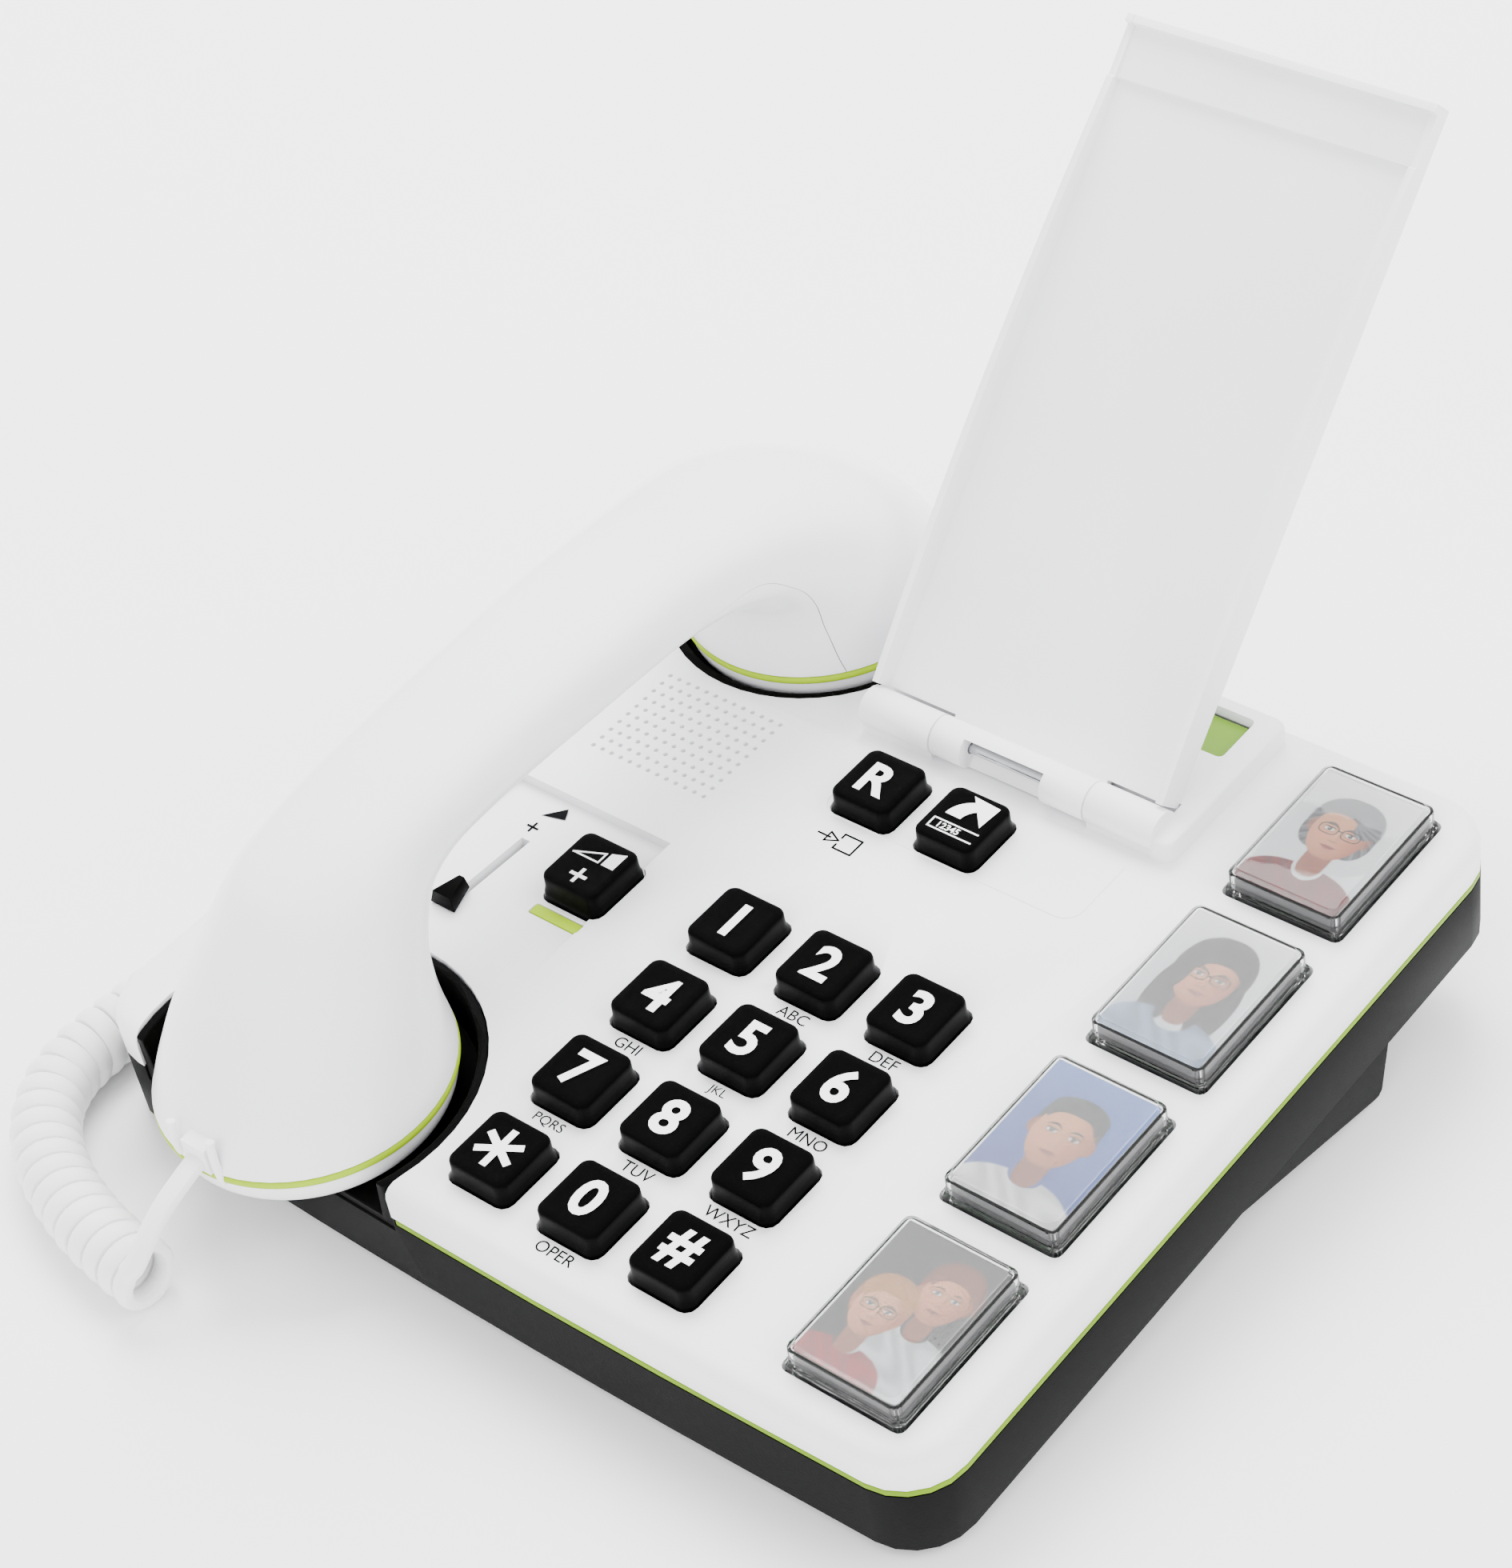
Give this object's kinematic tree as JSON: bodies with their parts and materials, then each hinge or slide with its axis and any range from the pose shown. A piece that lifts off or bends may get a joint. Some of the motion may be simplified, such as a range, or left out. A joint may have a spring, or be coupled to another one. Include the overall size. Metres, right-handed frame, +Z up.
{
  "type": "corded desk telephone",
  "caption": "Corded desk telephone with large keys, photo memory keys, a fold-over keypad cover, a handset on a coiled cord and a raised desk stand.",
  "frame": {"origin": "centre of the bounding box at desk level, cord not counted", "axes": "+X to the user's right, +Y away from the user to the rear, +Z up from the desk"},
  "size_m": [0.2178, 0.2737, 0.1546],
  "materials": {
    "white_abs": "satin moulded ABS",
    "dark_abs": "fine textured ABS",
    "lime_abs": "satin moulded ABS",
    "black_key_abs": "satin key cap with white print",
    "rubber": "moulded rubber",
    "steel_pin": "drawn bright steel",
    "photo_card": "printed photo card",
    "clear_acrylic": "clear polished acrylic",
    "board_laminate": "green solder mask",
    "green_translucent": "translucent green",
    "clear_plug": "clear modular plug",
    "white_cord_pvc": "soft PVC jacket"
  },
  "bodies": {
    "base": {"accent_band": "lime_abs", "base_cord_strand": "white_cord_pvc", "base_plug": "clear_plug", "circuit_board": "board_laminate", "desk_stand": "dark_abs", "ear_cradle": "dark_abs", "foot_front_left": "rubber", "foot_front_right": "rubber", "foot_rear_left": "rubber", "foot_rear_right": "rubber", "handset_cord_coil": "white_cord_pvc", "handset_cord_strand": "white_cord_pvc", "hinge_pin": "steel_pin", "key_mat": "rubber", "lamp_strip": "green_translucent", "loudspeaker": "dark_abs", "lower_housing": "dark_abs", "mouth_cradle": "dark_abs", "upper_housing": "white_abs"},
    "key_1_body": {"key_1": "black_key_abs"},
    "key_2_body": {"key_2": "black_key_abs"},
    "key_3_body": {"key_3": "black_key_abs"},
    "key_4_body": {"key_4": "black_key_abs"},
    "key_5_body": {"key_5": "black_key_abs"},
    "key_6_body": {"key_6": "black_key_abs"},
    "key_7_body": {"key_7": "black_key_abs"},
    "key_8_body": {"key_8": "black_key_abs"},
    "key_9_body": {"key_9": "black_key_abs"},
    "key_star_body": {"key_star": "black_key_abs"},
    "key_0_body": {"key_0": "black_key_abs"},
    "key_hash_body": {"key_hash": "black_key_abs"},
    "recall_key_body": {"recall_key": "black_key_abs"},
    "redial_key_body": {"redial_key": "black_key_abs"},
    "amplify_key_body": {"amplify_key": "black_key_abs"},
    "picture_key_1": {"picture_base_1": "dark_abs", "picture_print_1": "photo_card", "picture_cover_1": "clear_acrylic"},
    "picture_key_2": {"picture_base_2": "dark_abs", "picture_print_2": "photo_card", "picture_cover_2": "clear_acrylic"},
    "picture_key_3": {"picture_base_3": "dark_abs", "picture_print_3": "photo_card", "picture_cover_3": "clear_acrylic"},
    "picture_key_4": {"picture_base_4": "dark_abs", "picture_print_4": "photo_card", "picture_cover_4": "clear_acrylic"},
    "help_button_body": {"help_button": "green_translucent"},
    "slider": {"volume_slider": "black_key_abs"},
    "cover": {"keypad_cover": "white_abs"},
    "handset": {"handset_front_shell": "white_abs", "handset_back_shell": "white_abs", "ear_ring": "lime_abs", "mouth_ring": "lime_abs", "ear_cap": "white_abs", "mouth_cap": "white_abs", "earpiece_speaker": "dark_abs", "microphone_capsule": "dark_abs", "handset_plug": "white_cord_pvc"},
    "hook": {"hook_switch": "dark_abs"}
  },
  "joints": [
    {"name": "key_1_press", "type": "slide", "parent": "base", "child": "key_1_body", "axis": [0, 0.0906, -0.9959], "range_m": [0, 0.002], "stiffness_N_per_m": 300, "springref_m": -0.001},
    {"name": "key_2_press", "type": "slide", "parent": "base", "child": "key_2_body", "axis": [0, 0.0906, -0.9959], "range_m": [0, 0.002], "stiffness_N_per_m": 300, "springref_m": -0.001},
    {"name": "key_3_press", "type": "slide", "parent": "base", "child": "key_3_body", "axis": [0, 0.0906, -0.9959], "range_m": [0, 0.002], "stiffness_N_per_m": 300, "springref_m": -0.001},
    {"name": "key_4_press", "type": "slide", "parent": "base", "child": "key_4_body", "axis": [0, 0.0906, -0.9959], "range_m": [0, 0.002], "stiffness_N_per_m": 300, "springref_m": -0.001},
    {"name": "key_5_press", "type": "slide", "parent": "base", "child": "key_5_body", "axis": [0, 0.0906, -0.9959], "range_m": [0, 0.002], "stiffness_N_per_m": 300, "springref_m": -0.001},
    {"name": "key_6_press", "type": "slide", "parent": "base", "child": "key_6_body", "axis": [0, 0.0906, -0.9959], "range_m": [0, 0.002], "stiffness_N_per_m": 300, "springref_m": -0.001},
    {"name": "key_7_press", "type": "slide", "parent": "base", "child": "key_7_body", "axis": [0, 0.0906, -0.9959], "range_m": [0, 0.002], "stiffness_N_per_m": 300, "springref_m": -0.001},
    {"name": "key_8_press", "type": "slide", "parent": "base", "child": "key_8_body", "axis": [0, 0.0906, -0.9959], "range_m": [0, 0.002], "stiffness_N_per_m": 300, "springref_m": -0.001},
    {"name": "key_9_press", "type": "slide", "parent": "base", "child": "key_9_body", "axis": [0, 0.0906, -0.9959], "range_m": [0, 0.002], "stiffness_N_per_m": 300, "springref_m": -0.001},
    {"name": "key_star_press", "type": "slide", "parent": "base", "child": "key_star_body", "axis": [0, 0.0906, -0.9959], "range_m": [0, 0.002], "stiffness_N_per_m": 300, "springref_m": -0.001},
    {"name": "key_0_press", "type": "slide", "parent": "base", "child": "key_0_body", "axis": [0, 0.0906, -0.9959], "range_m": [0, 0.002], "stiffness_N_per_m": 300, "springref_m": -0.001},
    {"name": "key_hash_press", "type": "slide", "parent": "base", "child": "key_hash_body", "axis": [0, 0.0906, -0.9959], "range_m": [0, 0.002], "stiffness_N_per_m": 300, "springref_m": -0.001},
    {"name": "recall_key_press", "type": "slide", "parent": "base", "child": "recall_key_body", "axis": [0, 0.0906, -0.9959], "range_m": [0, 0.002], "stiffness_N_per_m": 300, "springref_m": -0.001},
    {"name": "redial_key_press", "type": "slide", "parent": "base", "child": "redial_key_body", "axis": [0, 0.0906, -0.9959], "range_m": [0, 0.002], "stiffness_N_per_m": 300, "springref_m": -0.001},
    {"name": "amplify_key_press", "type": "slide", "parent": "base", "child": "amplify_key_body", "axis": [0, 0.0906, -0.9959], "range_m": [0, 0.002], "stiffness_N_per_m": 300, "springref_m": -0.001},
    {"name": "picture_key_1_press", "type": "slide", "parent": "base", "child": "picture_key_1", "axis": [0, 0.0906, -0.9959], "range_m": [0, 0.0015], "stiffness_N_per_m": 500, "springref_m": -0.001},
    {"name": "picture_key_2_press", "type": "slide", "parent": "base", "child": "picture_key_2", "axis": [0, 0.0906, -0.9959], "range_m": [0, 0.0015], "stiffness_N_per_m": 500, "springref_m": -0.001},
    {"name": "picture_key_3_press", "type": "slide", "parent": "base", "child": "picture_key_3", "axis": [0, 0.0906, -0.9959], "range_m": [0, 0.0015], "stiffness_N_per_m": 500, "springref_m": -0.001},
    {"name": "picture_key_4_press", "type": "slide", "parent": "base", "child": "picture_key_4", "axis": [0, 0.0906, -0.9959], "range_m": [0, 0.0015], "stiffness_N_per_m": 500, "springref_m": -0.001},
    {"name": "help_button_press", "type": "slide", "parent": "base", "child": "help_button_body", "axis": [0, 0.0906, -0.9959], "range_m": [0, 0.0015], "stiffness_N_per_m": 300, "springref_m": -0.001},
    {"name": "volume_slide", "type": "slide", "parent": "base", "child": "slider", "axis": [0, 0.9959, 0.0906], "range_m": [0, 0.018]},
    {"name": "keypad_cover_fold", "type": "hinge", "parent": "base", "child": "cover", "pos_m": [0, 0.0313, 0.04432], "axis": [1, 0, 0], "range_deg": [0, 135]},
    {"name": "handset_lift", "type": "slide", "parent": "base", "child": "handset", "axis": [0, -0.0906, 0.9959], "range_m": [0, 0.06]},
    {"name": "hook_switch_rise", "type": "slide", "parent": "base", "child": "hook", "axis": [0, -0.0906, 0.9959], "range_m": [0, 0.004]}
  ],
  "couplings": [
    {"joint": "hook_switch_rise", "follows": "handset_lift", "ratio": 0.066666}
  ]
}
